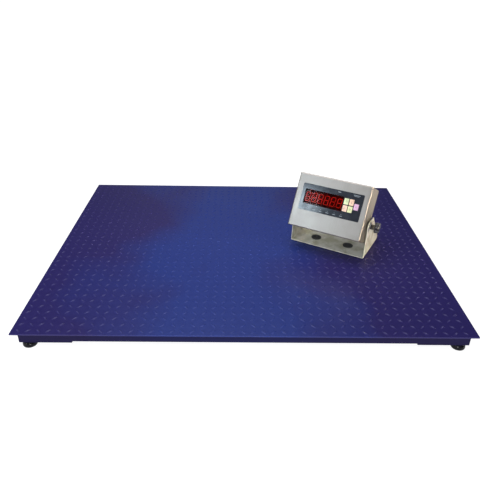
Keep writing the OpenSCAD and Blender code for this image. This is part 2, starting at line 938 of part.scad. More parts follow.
module keypad_overlay() {
    color(overlay_ink) at_housing() difference() {
        along_y(face_y - overlay_t, face_y)
            translate([overlay_x, overlay_z]) round_rect(overlay_w, overlay_h, overlay_r);
        window_cut(face_y - overlay_t - eps, face_y + eps, window_fit);
        for (at = key_at) along_y(face_y - overlay_t - eps, face_y + eps)
            translate(at) round_rect(key_w + 2 * key_fit, key_h + 2 * key_fit, key_round);
    }
}

module display_window() {
    seat = face_y + sheet_t;
    color(window_red) at_housing() {
        window_cut(face_y - overlay_t, seat, 0);
        window_cut(seat, seat + window_flange_t, window_flange);
    }
}

module display_module() {
    color(board_green) at_housing() {
        along_y(display_board_y, display_board_y + board_t)
            translate([window_x, window_z]) square(display_board, center = true);
        for (i = [0 : digit_count - 1]) along_y(digit_front, display_board_y)
            translate([window_x + (i - (digit_count - 1) / 2) * digit_pitch, window_z])
                square([digit_w, digit_h], center = true);
        along_y(display_board_y + board_t, main_board_y)
            translate([window_x, window_z]) square(display_header, center = true);
    }
}

module keypad_board() {
    color(board_green) at_housing() {
        along_y(keypad_board_y, keypad_board_y + board_t)
            translate(keypad_board_at) square(keypad_board_size, center = true);
        for (at = key_at) rod_y(keypad_board_y - dome_t, keypad_board_y, dome_r, at);
        along_y(keypad_board_y + board_t, main_board_y)
            translate(keypad_board_at) square(keypad_header, center = true);
    }
}

// A component on the back of the main board, placed from the middle of the board
module mounted(size, at) {
    back = main_board_y + board_t;
    along_y(back, back + size[2])
        translate([at[0], overlay_z + at[1]]) square([size[0], size[1]], center = true);
}

module main_board() {
    back = main_board_y + board_t;
    color(board_green) at_housing() difference() {
        union() {
            along_y(main_board_y, back) translate([0, overlay_z]) square(main_board_size, center = true);
            mounted(chip_size, chip_at);
            mounted(converter_size, converter_at);
            for (i = [0 : capacitors - 1])
                rod_y(back, back + capacitor_h, capacitor_r,
                      [capacitor_at[0] + i * capacitor_pitch, overlay_z + capacitor_at[1]]);
            for (i = [0 : sockets - 1]) mounted(socket_size, [socket_at[0] + i * socket_pitch, socket_at[1]]);
        }
        for (at = standoff_places()) rod_y(main_board_y - eps, back + eps, board_hole_r, at);
    }
}

function standoff_places() = [
    for (sx = [-1, 1], sz = [-1, 1]) [sx * standoff_at[0], overlay_z + sz * standoff_at[1]]
];

module board_standoffs() {
    color(bare_steel) at_housing()
        for (at = standoff_places()) rod_y(face_y + sheet_t, main_board_y, standoff_r, at);
}

module battery() {
    low = [battery_at[0], battery_at[1], house_low + sheet_t];
    color(foot_black) at_housing() translate(low) {
        cube(battery_size);
        for (x = [tab_inset[0], battery_size[0] - tab_inset[0]])
            translate([x - tab_size[0] / 2, battery_size[1] - tab_inset[1] - tab_size[1], battery_size[2]])
                cube(tab_size);
    }
}

module transformer() {
    floor_z = house_low + sheet_t;
    color(plastic_grey) at_housing() translate([core_at[0], core_at[1], floor_z]) {
        cube(core_size);
        translate(core_size / 2) cube(coil_size, center = true);
    }
}

module housing_glands() {
    color(rubber_black) at_housing() for (x = glands_x)
        translate([x, back_y, glands_z]) rotate([-90, 0, 0]) gland(cover_t);
}

module power_switch() {
    body_y = back_y - switch_body[2];
    color(foot_black) at_housing() translate([switch_x, 0, switch_z]) difference() {
        union() {
            along_y(back_y, back_y + switch_bezel[2])
                square([switch_bezel[0], switch_bezel[1]], center = true);
            along_y(body_y, back_y) square([switch_body[0], switch_body[1]], center = true);
        }
        along_y(rocker_well_y, back_y + switch_bezel[2] + eps) square(rocker_well, center = true);
        translate([0, switch_axis_y, 0])
            cylinder(h = trunnion_l + 2 * gap, r = trunnion_r + trunnion_fit, center = true);
    }
}

module power_rocker() {
    half = rocker_w / 2;
    color(foot_black) at_housing() translate([switch_x, switch_axis_y, switch_z])
        rotate([0, 0, -rocker_turn]) {
            translate([0, 0, -rocker_d / 2]) linear_extrude(rocker_d) polygon([
                [-half, rocker_low], [half, rocker_low],
                [half, rocker_edge], [0, rocker_dip], [-half, rocker_edge]
            ]);
            cylinder(h = trunnion_l, r = trunnion_r, center = true);
        }
}

// ---------------------------------------------------------------- pivots

// A lobed hand knob, which clamps the housing against the right-hand arm
module clamp_knob() {
    grip_x = head_x + hub_l;
    color(foot_black) at_housing() difference() {
        union() {
            rod_x(head_x, grip_x, hub_r);
            rod_x(grip_x, grip_x + grip_t, grip_r);
            for (i = [0 : lobes - 1]) rotate([360 * i / lobes, 0, 0])
                translate([0, lobe_at, 0]) rod_x(grip_x, grip_x + grip_t, lobe_r);
            rod_x(grip_x + grip_t, grip_x + grip_t + cap_t, cap_r);
        }
        rod_x(head_x - eps, head_x + knob_hole_l, pin_r + gap);
    }
}

module clamp_stud() {
    color(bare_steel) at_housing() rod_x(side_x - pin_in, head_x + knob_hole_l - gap, pin_r);
}

// The low screw that the housing turns on at its left-hand side
module pivot_screw() {
    end_x = head_x + screw_head_l;
    color(bare_steel) at_housing() mirror([1, 0, 0]) difference() {
        union() {
            rod_x(side_x - pin_in, head_x, pin_r);
            rod_x(head_x, end_x, screw_head_r);
        }
        translate([end_x - screw_socket_l, 0, 0]) rotate([0, 90, 0])
            cylinder(h = screw_socket_l + eps, r = screw_socket_r, $fn = 6);
    }
}

// ---------------------------------------------------------------- keys

module key(at, tint) {
    back = face_y - key_travel_gap;
    color(tint) at_housing() {
        along_y(back - key_t, back) translate(at) round_rect(key_w, key_h, key_round);
        rod_y(back, key_stem_end, key_stem_r, at);
    }
}

module key_zero() { key(key_at[0], [0.78, 0.84, 0.60]); }
module key_tare() { key(key_at[1], [0.94, 0.70, 0.56]); }
module key_count() { key(key_at[2], [0.95, 0.66, 0.60]); }
module key_print() { key(key_at[3], [0.84, 0.85, 0.50]); }
module key_power() { key(key_at[4], [0.85, 0.50, 0.70]); }

// ---------------------------------------------------------------- nodes

deck_plate();
front_rail();
rear_rail();
left_rail();
right_rail();
deck_ribs();
pocket_plates();
load_cell_fl();
load_cell_fr();
load_cell_rl();
load_cell_rr();
load_cell_spacers();
load_cell_bolts();
load_cell_cables();
cable_clips();
junction_box();
junction_box_gasket();
junction_box_lid();
junction_box_screws();
junction_board();
junction_box_glands();
outlet_gland();
foot_stud_fl();
foot_stud_fr();
foot_stud_rl();
foot_stud_rr();
foot_cup_fl();
foot_cup_fr();
foot_cup_rl();
foot_cup_rr();
bracket();
bracket_pads();
bracket_grommets();
pivot_washers();
housing_shell();
rear_gasket();
rear_cover();
rear_screws();
pivot_bosses();
keypad_overlay();
display_window();
display_module();
keypad_board();
main_board();
board_standoffs();
battery();
transformer();
housing_glands();
power_switch();
power_rocker();
pivot_screw();
clamp_knob();
clamp_stud();
key_zero();
key_tare();
key_count();
key_print();
key_power();
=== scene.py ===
import json
import math
from collections import namedtuple

import bmesh
import bpy
from mathutils import Matrix, Vector


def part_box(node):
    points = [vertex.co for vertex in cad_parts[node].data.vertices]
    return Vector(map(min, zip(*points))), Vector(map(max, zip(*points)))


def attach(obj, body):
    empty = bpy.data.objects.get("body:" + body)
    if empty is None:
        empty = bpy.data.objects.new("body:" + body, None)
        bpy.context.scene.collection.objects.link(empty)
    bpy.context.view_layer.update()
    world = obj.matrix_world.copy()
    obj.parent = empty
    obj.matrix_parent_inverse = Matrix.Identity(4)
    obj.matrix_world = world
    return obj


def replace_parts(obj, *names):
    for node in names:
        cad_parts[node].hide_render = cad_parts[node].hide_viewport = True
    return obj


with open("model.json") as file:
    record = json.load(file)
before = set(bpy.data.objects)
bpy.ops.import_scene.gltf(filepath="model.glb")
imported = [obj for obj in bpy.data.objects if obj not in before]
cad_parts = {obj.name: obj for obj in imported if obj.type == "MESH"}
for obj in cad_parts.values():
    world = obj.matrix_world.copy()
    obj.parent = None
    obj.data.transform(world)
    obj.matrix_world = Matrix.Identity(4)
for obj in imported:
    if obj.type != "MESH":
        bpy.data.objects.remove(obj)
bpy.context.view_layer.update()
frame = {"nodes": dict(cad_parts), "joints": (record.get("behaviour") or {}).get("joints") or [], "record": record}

MM = 0.001


# ---------------------------------------------------------------- places

def joint(name):
    """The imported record's joint of that name."""
    return next(j for j in frame["joints"] if j["name"] == name)


def face_frame():
    """The housing's own frame: X along the hinge, Y into the face, Z up the face, from the pivot."""
    right = Vector(joint("housing_tilt")["axis"]).normalized()
    into = Vector(joint("key_zero_press")["axis"]).normalized()
    up = right.cross(into)
    turn = Matrix((right, into, up)).transposed().to_4x4()
    return Matrix.Translation(Vector(joint("housing_tilt")["pos_m"])) @ turn


HOUSING = face_frame()
PIVOT = HOUSING.translation.copy()
HINGE = HOUSING.to_3x3() @ Vector((1, 0, 0))
INTO = HOUSING.to_3x3() @ Vector((0, 1, 0))
FACE_UP = HOUSING.to_3x3() @ Vector((0, 0, 1))
Span = namedtuple("Span", "low high")


def local_box(node):
    """A CAD node's lowest and highest corners in the housing's frame."""
    inverse = HOUSING.inverted()
    points = [inverse @ v.co for v in frame["nodes"][node].data.vertices]
    return Span(
        Vector([min(p[i] for p in points) for i in range(3)]),
        Vector([max(p[i] for p in points) for i in range(3)]),
    )


# ---------------------------------------------------------------- materials

# A material or a world, its node tree, and the node that gives its surface or its light
Shader = namedtuple("Shader", "material tree surface")


def shader(name, color, roughness, metallic=0.0, **extra):
    """A new Principled material. extra sets more of its sockets, with _ for a space."""
    material = bpy.data.materials.new(name)
    material.use_nodes = True
    tree = material.node_tree
    surface = tree.nodes["Principled BSDF"]
    surface.inputs["Base Color"].default_value = (*color, 1)
    surface.inputs["Roughness"].default_value = roughness
    surface.inputs["Metallic"].default_value = metallic
    for socket, value in extra.items():
        surface.inputs[socket.replace("_", " ")].default_value = value
    return Shader(material, tree, surface)


def add(s, kind, **settings):
    """A new node of that kind, with its settings."""
    node = s.tree.nodes.new(kind)
    for key, value in settings.items():
        setattr(node, key, value)
    return node


def join(s, source, target):
    """Links an output to an input."""
    s.tree.links.new(source, target)


def place(s):
    """Object coordinates, which are metres in the CAD model's frame."""
    return add(s, "ShaderNodeTexCoord").outputs["Object"]


def place_along(s, axes, scale):
    """Object coordinates measured along three directions, each times its scale."""
    coords = place(s)
    combine = add(s, "ShaderNodeCombineXYZ")
    for socket, axis, factor in zip(("X", "Y", "Z"), axes, scale):
        dot = add(s, "ShaderNodeVectorMath", operation="DOT_PRODUCT")
        join(s, coords, dot.inputs[0])
        dot.inputs[1].default_value = Vector(axis) * factor
        join(s, dot.outputs["Value"], combine.inputs[socket])
    return combine.outputs["Vector"]


def noise_of(s, vector, scale, detail):
    """Cloudy noise around 0.5, with about scale clouds to a unit."""
    node = add(s, "ShaderNodeTexNoise")
    node.inputs["Scale"].default_value = scale
    node.inputs["Detail"].default_value = detail
    join(s, vector, node.inputs["Vector"])
    return node.outputs["Fac"]


def ranged(s, value, low, high, start=0.3, end=0.7):
    """value, from start to end, taken to low and high."""
    node = add(s, "ShaderNodeMapRange")
    node.inputs["From Min"].default_value = start
    node.inputs["From Max"].default_value = end
    node.inputs["To Min"].default_value = low
    node.inputs["To Max"].default_value = high
    join(s, value, node.inputs["Value"])
    return node.outputs["Result"]


def ramp(s, value, stops):
    """A colour ramp through stops, each (position, colour)."""
    node = add(s, "ShaderNodeValToRGB")
    elements = node.color_ramp.elements
    while len(elements) < len(stops):
        elements.new(0.5)
    for element, (position, color) in zip(elements, stops):
        element.position = position
        element.color = (*color, 1)
    join(s, value, node.inputs["Fac"])
    return node.outputs["Color"]


def bump(s, height, distance, under=None):
    """A bump of that distance in metres, on top of another bump's normal if one is given."""
    node = add(s, "ShaderNodeBump")
    node.inputs["Distance"].default_value = distance
    join(s, height, node.inputs["Height"])
    if under is not None:
        join(s, under, node.inputs["Normal"])
    return node.outputs["Normal"]


def math_of(s, operation, first, second):
    """The result of a Math node on two values."""
    node = add(s, "ShaderNodeMath", operation=operation)
    join(s, first, node.inputs[0])
    join(s, second, node.inputs[1])
    return node.outputs["Value"]


def tinted(s, color, tint):
    """One colour times another."""
    mix = add(s, "ShaderNodeMix", data_type="RGBA", blend_type="MULTIPLY")
    mix.inputs["Factor"].default_value = 1.0
    join(s, color, mix.inputs["A"])
    join(s, tint, mix.inputs["B"])
    return mix.outputs["Result"]


def shade(color, factor):
    """A colour made lighter or darker."""
    return tuple(min(1.0, c * factor) for c in color)


def end_shade_mask(s, coords):
    """Where the painted shade falls: from 0 in the middle of the deck to 1 at its two ends, with cloudy borders.
    """
    parts = add(s, "ShaderNodeSeparateXYZ")
    join(s, coords, parts.inputs["Vector"])
    from_middle = add(s, "ShaderNodeMath", operation="ABSOLUTE")
    join(s, parts.outputs["X"], from_middle.inputs[0])
    drift = ranged(s, from_middle.outputs["Value"], 0.0, 1.0, 0.05, 0.64)
    clouds = ranged(s, noise_of(s, coords, 2.2, 2.0), -0.35, 0.35)
    return math_of(s, "ADD", drift, clouds)


def deck_hue_with_shade(s, coords, color, shaded_violet):
    """The enamel's blue, which drifts towards a darker violet at the deck's ends: painted shade where the glare
    falls off.
    """
    return ramp(s, end_shade_mask(s, coords), [(0.25, color), (0.75, shaded_violet)])


def deck_enamel(name, color, shaded_violet, gloss, shine):
    """Thick glossy enamel on hot-rolled plate: painted shade that slowly drifts its blue to a darker violet
    towards the ends, waves in the plate, orange peel.
    """
    s = shader(name, color, 0.4, Coat_Weight=gloss, Coat_Roughness=0.3, Specular_IOR_Level=shine)
    coords = place(s)
    fine = noise_of(s, coords, 60, 4.0)
    dust = ramp(s, fine, [(0.3, (0.86, 0.86, 0.9)), (0.7, (1, 1, 1))])
    join(s, tinted(s, deck_hue_with_shade(s, coords, color, shaded_violet), dust), s.surface.inputs["Base Color"])
    join(s, ranged(s, fine, 0.40, 0.50), s.surface.inputs["Roughness"])
    waves = bump(s, noise_of(s, coords, 5.0, 1.0), 0.0016)
    peel = bump(s, noise_of(s, coords, 420, 1.0), 0.00004, under=waves)
    join(s, peel, s.surface.inputs["Normal"])
    join(s, peel, s.surface.inputs["Coat Normal"])
    return s.material


def painted_glint_enamel(name, color, shaded_violet, glint_color, low, high):
    """The treads' enamel, with a painted highlight that turns the crests pale from one height to another.
    The painted highlight lies at the deck's two ends, and is strongest at the right one."""
    s = shader(name, color, 0.45, Specular_IOR_Level=0.3)
    coords = place(s)
    parts = add(s, "ShaderNodeSeparateXYZ")
    join(s, coords, parts.inputs["Vector"])
    right = ranged(s, parts.outputs["X"], 0.0, 1.0, 0.10, 0.62)
    left = ranged(s, parts.outputs["X"], 0.0, 0.5, -0.25, -0.62)
    crest = ranged(s, parts.outputs["Z"], 0.0, 1.0, low, high)
    glint_mask = math_of(s, "MULTIPLY", crest, math_of(s, "MAXIMUM", right, left))
    patches = ranged(s, noise_of(s, coords, 24, 2.0), 0.5, 1.0)
    mix = add(s, "ShaderNodeMix", data_type="RGBA")
    join(s, math_of(s, "MULTIPLY", glint_mask, patches), mix.inputs["Factor"])
    join(s, deck_hue_with_shade(s, coords, color, shaded_violet), mix.inputs["A"])
    mix.inputs["B"].default_value = (*glint_color, 1)
    join(s, mix.outputs["Result"], s.surface.inputs["Base Color"])
    join(s, ranged(s, noise_of(s, coords, 60, 4.0), 0.42, 0.54), s.surface.inputs["Roughness"])
    join(s, bump(s, noise_of(s, coords, 300, 2.0), 0.00003), s.surface.inputs["Normal"])
    return s.material


def brushed_steel(name, color, rough, grain, metallic, edge, stain_and_reflection):
    """Satin stainless sheet: fine scratches along the grain, and cloudy smudges towards a tint, which on the
    bracket are also painted dark reflections.
    """
    across = grain.orthogonal().normalized()
    s = shader(name, color, rough, metallic, Specular_Tint=(*edge, 1))
    along_grain = place_along(s, (grain, across, grain.cross(across)), (6, 500, 500))
    streaks = noise_of(s, along_grain, 1.0, 2.0)
    clouds = noise_of(s, place(s), 26, 4.0)
    tone = ramp(s, streaks, [(0.3, shade(color, 0.96)), (0.7, shade(color, 1.02))])
    smudges_and_reflections = ramp(s, clouds, [(0.38, stain_and_reflection), (0.58, (1, 1, 1))])
    join(s, tinted(s, tone, smudges_and_reflections), s.surface.inputs["Base Color"])
    scratched = ranged(s, streaks, rough - 0.02, rough + 0.04)
    smeared = ranged(s, clouds, -0.03, 0.05)
    join(s, math_of(s, "ADD", scratched, smeared), s.surface.inputs["Roughness"])
    join(s, bump(s, streaks, 0.00001), s.surface.inputs["Normal"])
    return s.material


def bare_metal(name, color, rough):
    """Plated or machined steel, with a mottled tone."""
    s = shader(name, color, rough, 1.0)
    coords = place(s)
    mottle = noise_of(s, coords, 90, 4.0)
    join(s, ramp(s, mottle, [(0.3, shade(color, 0.82)), (0.7, shade(color, 1.08))]),
         s.surface.inputs["Base Color"])
    join(s, ranged(s, mottle, rough - 0.06, rough + 0.1), s.surface.inputs["Roughness"])
    join(s, bump(s, noise_of(s, coords, 900, 2.0), 0.00002), s.surface.inputs["Normal"])
    return s.material


def moulded(name, color, rough, grain=0.00003, cell=700, **extra):
    """Moulded plastic or rubber with a fine texture and slight unevenness of tone."""
    s = shader(name, color, rough, **extra)
    coords = place(s)
    tone = noise_of(s, coords, 40, 3.0)
    join(s, ramp(s, tone, [(0.3, shade(color, 0.85)), (0.7, shade(color, 1.12))]),
         s.surface.inputs["Base Color"])
    join(s, ranged(s, tone, rough - 0.05, rough + 0.08), s.surface.inputs["Roughness"])
    join(s, bump(s, noise_of(s, coords, cell, 2.0), grain), s.surface.inputs["Normal"])
    return s.material


def circuit_board(name, color):
    """Green solder mask with paler copper tracks under it."""
    s = shader(name, color, 0.35)
    tracks = add(s, "ShaderNodeTexBrick", offset=0.5)
    tracks.inputs["Scale"].default_value = 140
    tracks.inputs["Mortar Size"].default_value = 0.04
    tracks.inputs["Color1"].default_value = (*color, 1)
    tracks.inputs["Color2"].default_value = (*shade(color, 0.8), 1)
    tracks.inputs["Mortar"].default_value = (*shade(color, 1.9), 1)
    join(s, place_along(s, (HINGE, FACE_UP, INTO), (1, 1, 1)), tracks.inputs["Vector"])
    join(s, tracks.outputs["Color"], s.surface.inputs["Base Color"])
    join(s, bump(s, tracks.outputs["Fac"], 0.00005), s.surface.inputs["Normal"])
    return s.material


def tinted_window(name, color):
    """Clear red acrylic with hairline scratches."""
    s = shader(name, color, 0.04, Transmission_Weight=1.0, IOR=1.12, Specular_IOR_Level=0.2)
    scratches = noise_of(s, place_along(s, (HINGE, FACE_UP, INTO), (30, 900, 900)), 1.0, 2.0)
    join(s, ranged(s, scratches, 0.02, 0.09), s.surface.inputs["Roughness"])
    return s.material


def lit_segment(name, color, strength):
    """A glowing segment, slightly uneven."""
    s = shader(name, shade(color, 0.5), 0.4, Emission_Strength=strength)
    glow = noise_of(s, place(s), 500, 1.0)
    join(s, ramp(s, glow, [(0.3, shade(color, 0.8)), (0.7, color)]), s.surface.inputs["Emission Color"])
    return s.material


def printed(name, color):
    """Opaque screen ink under a clear film."""
    return moulded(name, color, 0.30, 0.00001, 900, Coat_Weight=0.6, Coat_Roughness=0.12)


# Paints: their blue in the middle, and the darker violet towards the ends, which is painted shade
DECK_BLUE = (0.014, 0.030, 0.185)
DECK_SHADED_VIOLET = (0.021, 0.015, 0.108)
# The rails' blue and violet are the deck's paint made much darker: painted shade on the rails
RAIL_SHADED_BLUE = (0.009, 0.010, 0.059)
RAIL_SHADED_VIOLET = (0.011, 0.008, 0.047)
# Stainless sheets: their colour, the tint of their glancing shine, and their smudges' tint.
# The bracket's colour is a paler, warmer copy of the housing's steel, and its olive smudges are painted
# reflection.
HOUSING_STEEL = (0.336, 0.311, 0.290)
HOUSING_EDGE = (0.62, 0.55, 0.46)
HOUSING_STAIN = (0.95, 0.95, 0.93)
BRACKET_REFLECTION_TINTED_STEEL = (0.95, 0.93, 0.84)
BRACKET_EDGE = (0.60, 0.52, 0.40)
BRACKET_STAIN_AND_REFLECTION = (0.71, 0.705, 0.61)
# Level, and square to the hinge: the grain of the bracket's sheet
DEPTH = HINGE.cross(Vector((0, 0, 1)))

# The material of each of the record's slots
LOOKS = {
    "deck_paint": deck_enamel("deck_paint_enamel", DECK_BLUE, DECK_SHADED_VIOLET, 0.15, 0.2),
    # The frame gets a darker copy of the deck's enamel, as painted shade
    "frame_paint": deck_enamel("frame_paint_shaded_enamel", RAIL_SHADED_BLUE, RAIL_SHADED_VIOLET, 0.0, 0.08),
    "machined_steel": bare_metal("machined_steel_ground", (0.58, 0.59, 0.60), 0.34),
    "zinc_steel": bare_metal("zinc_steel_plated", (0.66, 0.67, 0.68), 0.26),
    "cable_jacket": moulded("cable_jacket_pvc", (0.02, 0.02, 0.022), 0.45),
    "grey_plastic": moulded("grey_plastic_abs", (0.16, 0.17, 0.18), 0.5, 0.00006),
    "black_rubber": moulded("black_rubber_epdm", (0.036, 0.038, 0.041), 0.42, 0.00004),
    "gland_nylon": moulded("gland_nylon_black", (0.02, 0.02, 0.023), 0.42),
    "circuit_board": circuit_board("circuit_board_mask", (0.02, 0.12, 0.05)),
    "foot_black": moulded("foot_black_enamel", (0.003, 0.003, 0.006), 0.16, 0.00001, 300,
                          Specular_IOR_Level=0.18),
    "stainless_sheet": brushed_steel("stainless_sheet_brushed", HOUSING_STEEL, 0.36, FACE_UP, 0.9,
                                     HOUSING_EDGE, HOUSING_STAIN),
    "overlay_ink": moulded("overlay_ink_film", (0.009, 0.012, 0.020), 0.13, 0.00001, 1200,
                           Specular_IOR_Level=0.42),
    "red_window": tinted_window("red_window_acrylic", (0.62, 0.035, 0.02)),
    "battery_case": moulded("battery_case_abs", (0.02, 0.02, 0.023), 0.5),
    "iron_core": bare_metal("iron_core_varnished", (0.15, 0.13, 0.11), 0.5),
    "switch_black": moulded("switch_black_gloss", (0.012, 0.012, 0.013), 0.2),
    "knob_black": moulded("knob_black_phenolic", (0.022, 0.018, 0.020), 0.22, 0.00002, 500,
                          Coat_Weight=0.7, Coat_Roughness=0.1),
    "key_green": printed("key_green_print", (0.66, 0.74, 0.42)),
    "key_salmon": printed("key_salmon_print", (0.86, 0.56, 0.40)),
    "key_coral": printed("key_coral_print", (0.90, 0.58, 0.44)),
    "key_lime": printed("key_lime_print", (0.72, 0.74, 0.40)),
    "key_pink": printed("key_pink_print", (0.66, 0.38, 0.56)),
}
# The bracket's stainless: a paler, warmer copy of the housing's with olive smudges, as painted reflection
BRACKET_REFLECTION_LOOK = brushed_steel("stainless_bracket_painted_reflection", BRACKET_REFLECTION_TINTED_STEEL, 0.10, DEPTH, 0.3,
                             BRACKET_EDGE, BRACKET_STAIN_AND_REFLECTION)


def paint_nodes():
    """Gives every CAD node its slot's material; the bracket's sheet has its grain another way, and a paler, warmer
    colour with olive smudges as painted reflection.
    """
    for part in frame["record"]["subparts"]:
        mesh = frame["nodes"][part["node"]].data
        look = BRACKET_REFLECTION_LOOK if part["node"] == "bracket" else LOOKS[part["material_slot"]]
        mesh.materials.clear()
        mesh.materials.append(look)


paint_nodes()


# ---------------------------------------------------------------- mesh tools

def mesh_piece(name, body, slot, build, material=None, smooth=True, turn=None):
    """A piece made by build(bm), moved by turn, riding on a body, with the given material, or else its slot's
    finish.
    """
    bm = bmesh.new()
    build(bm)
    bmesh.ops.recalc_face_normals(bm, faces=bm.faces)
    if turn is not None:
        bm.transform(turn)
    mesh = bpy.data.meshes.new(name)
    bm.to_mesh(mesh)
    bm.free()
    for polygon in mesh.polygons:
        polygon.use_smooth = smooth
    mesh.materials.append(material or LOOKS[slot])
    piece = bpy.data.objects.new(name, mesh)
    bpy.context.scene.collection.objects.link(piece)
    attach(piece, body)
    return piece


def circle(centre, radius, sides):
    """Points round a circle in the plane of centre's x and y."""
    angles = [2 * math.pi * i / sides for i in range(sides)]
    return [(centre.x + radius * math.cos(a), centre.y + radius * math.sin(a)) for a in angles]


def loft(bm, rings):
    """Skins rings of equal length into a closed tube with capped ends."""
    loops = [[bm.verts.new(p) for p in ring] for ring in rings]
    count = len(loops[0])
    for a, b in zip(loops, loops[1:]):
        for i in range(count):
            k = (i + 1) % count
            bm.faces.new((a[i], a[k], b[k], b[i]))
    bm.faces.new(list(reversed(loops[0])))
    bm.faces.new(loops[-1])


BEVEL_SEGMENTS = 2
SHARP_ANGLE = math.radians(35)
SAME_POINT = 1e-6


def soften(names, width):
    """Rounds the sharp edges of CAD nodes, as bent or deburred edges are."""
    for name in names:
        node = frame["nodes"][name]
        weld = node.modifiers.new("join_corners", "WELD")
        weld.merge_threshold = SAME_POINT
        bevel = node.modifiers.new("round_edges", "BEVEL")
        bevel.width = width
        bevel.segments = BEVEL_SEGMENTS
        bevel.limit_method = "ANGLE"
        bevel.angle_limit = SHARP_ANGLE
        bevel.harden_normals = True


# ---------------------------------------------------------------- treads

# The treads' grid: its pitch, and its first tread's distance from the deck's right and front edges
TREAD_PITCH = 0.03275
TREAD_FROM_SIDE = 0.0383
TREAD_FROM_FRONT = 0.0183
TREAD_LENGTH = 0.024
TREAD_WIDTH = 0.0085
TREAD_HEIGHT = 0.0014
TREAD_SINK = 0.0003
# A tread whose middle is closer than this to an edge of the deck is left out
TREAD_REACH = TREAD_LENGTH * 0.36
# Steps along each of a tread's two arcs, and the arcs' power: 1 is a sine curve, and more is slimmer
ARC_STEPS = 7
ARC_POWER = 1.15
# Each level of a tread: its size, and its height as a share of the tread's
TREAD_DOME = ((1.0, 0.0), (0.9, 0.22), (0.76, 0.45), (0.58, 0.68), (0.38, 0.87), (0.18, 0.98))


def lens_ring(size, height):
    """One level of a lentil: two arcs that meet in a point at each end."""
    ring = []
    for side in (1, -1):
        for i in range(ARC_STEPS):
            t = i / ARC_STEPS
            along = math.cos(math.pi * t)
            bulge = math.sin(math.pi * t) ** ARC_POWER
            ring.append((side * along * TREAD_LENGTH / 2 * size,
                         side * bulge * TREAD_WIDTH / 2 * size, height))
    return ring


def treads(bm):
    """The rolled pattern: lentils on a square grid, turned 45 degrees one way and the other."""
    low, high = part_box("deck_plate")
    rings = [lens_ring(1.0, -TREAD_SINK)]
    rings += [lens_ring(size, share * TREAD_HEIGHT) for size, share in TREAD_DOME]
    columns = int((high.x - low.x - TREAD_FROM_SIDE) / TREAD_PITCH) + 1
    rows = int((high.y - low.y - TREAD_FROM_FRONT) / TREAD_PITCH) + 1
    for i in range(columns):
        for k in range(rows):
            x = high.x - TREAD_FROM_SIDE - i * TREAD_PITCH
            y = low.y + TREAD_FROM_FRONT + k * TREAD_PITCH
            turn = math.radians(-45 if (i + k) % 2 == 0 else 45)
            at = Matrix.Translation((x, y, high.z)) @ Matrix.Rotation(turn, 4, "Z")
            if min(x - low.x, high.x - x, y - low.y, high.y - y) >= TREAD_REACH:
                loft(bm, [[at @ Vector(p) for p in ring] for ring in rings])


DECK_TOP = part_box("deck_plate")[1].z
# The crests' painted highlight colour, and the shares of a tread's height where the painted highlight starts and
# is full
PAINTED_GLINT_BLUE = (0.125, 0.115, 0.27)
GLINT_FROM = 0.7
GLINT_FULL = 0.97
# The treads' crests get a painted highlight in place of their glints
TREAD_GLINT_ENAMEL = painted_glint_enamel("deck_paint_painted_glints", DECK_BLUE, DECK_SHADED_VIOLET, PAINTED_GLINT_BLUE,
                           DECK_TOP + GLINT_FROM * TREAD_HEIGHT, DECK_TOP + GLINT_FULL * TREAD_HEIGHT)
mesh_piece("deck_treads", "platform", "deck_paint", treads, TREAD_GLINT_ENAMEL)


# ---------------------------------------------------------------- digits and prints

DIGITS = 6
SEGMENT_WIDTH = 0.0026
DIGIT_HEIGHT = 0.0345
DIGIT_WIDTH = 0.0165
DIGIT_SLANT = 0.10
DOT_SIDES = 16
SEGMENT_GAP = 0.0006
# How much wider the window is than its digits, as a share of their pitch
WINDOW_SPARE = 0.45
# The segments' thickness, and their gap from the display module
SKIN = 0.0004
SKIN_GAP = 0.00005
SEGMENT_GLOW = 0.12


def slab(bm, outline, front, back):
    """A flat plate between two depths of the housing's frame, from an outline in X and Z."""
    loft(bm, [[Vector((x, depth, z)) for x, z in outline] for depth in (front, back)])


def bar(start, end, width):
    """A segment's six-sided outline between two points."""
    a, b = Vector(start), Vector(end)
    along = (b - a).normalized()
    side = Vector((-along.y, along.x)) * width / 2
    tip = along * width / 2
    a, b = a + along * SEGMENT_GAP, b - along * SEGMENT_GAP
    return [a, a + tip + side, b - tip + side, b, b - tip - side, a + tip - side]


def digit_segments(bm, centre, depth):
    """Seven bars of a leaning digit."""
    w, h = DIGIT_WIDTH / 2, DIGIT_HEIGHT / 2
    corners = [Vector((sx * w, sz * h)) for sz in (-1, 0, 1) for sx in (-1, 1)]
    pairs = [(0, 1), (2, 3), (4, 5), (0, 2), (1, 3), (2, 4), (3, 5)]
    for a, b in pairs:
        outline = bar(corners[a], corners[b], SEGMENT_WIDTH)
        points = [(centre.x + p.x + p.y * DIGIT_SLANT, centre.y + p.y) for p in outline]
        slab(bm, points, depth - SKIN, depth)


def lit_digits(bm):
    """Six digits with a point each, on the front of the display module."""
    window = local_box("display_window")
    depth = local_box("display_module").low.y - SKIN_GAP
    pitch = (window.high.x - window.low.x) / (DIGITS + WINDOW_SPARE)
    mid = (window.low + window.high) / 2
    for i in range(DIGITS):
        centre = Vector((mid.x + (i - (DIGITS - 1) / 2) * pitch, mid.z))
        digit_segments(bm, centre, depth)
        point = centre + Vector((DIGIT_WIDTH / 2 + SEGMENT_WIDTH, -DIGIT_HEIGHT / 2))
        slab(bm, circle(point, SEGMENT_WIDTH / 2, DOT_SIDES), depth - SKIN, depth)


SEGMENT_RED = lit_segment("segment_red_led", (1.0, 0.10, 0.03), SEGMENT_GLOW)
mesh_piece("lit_digits", "housing", "red_window", lit_digits, SEGMENT_RED, False, HOUSING)


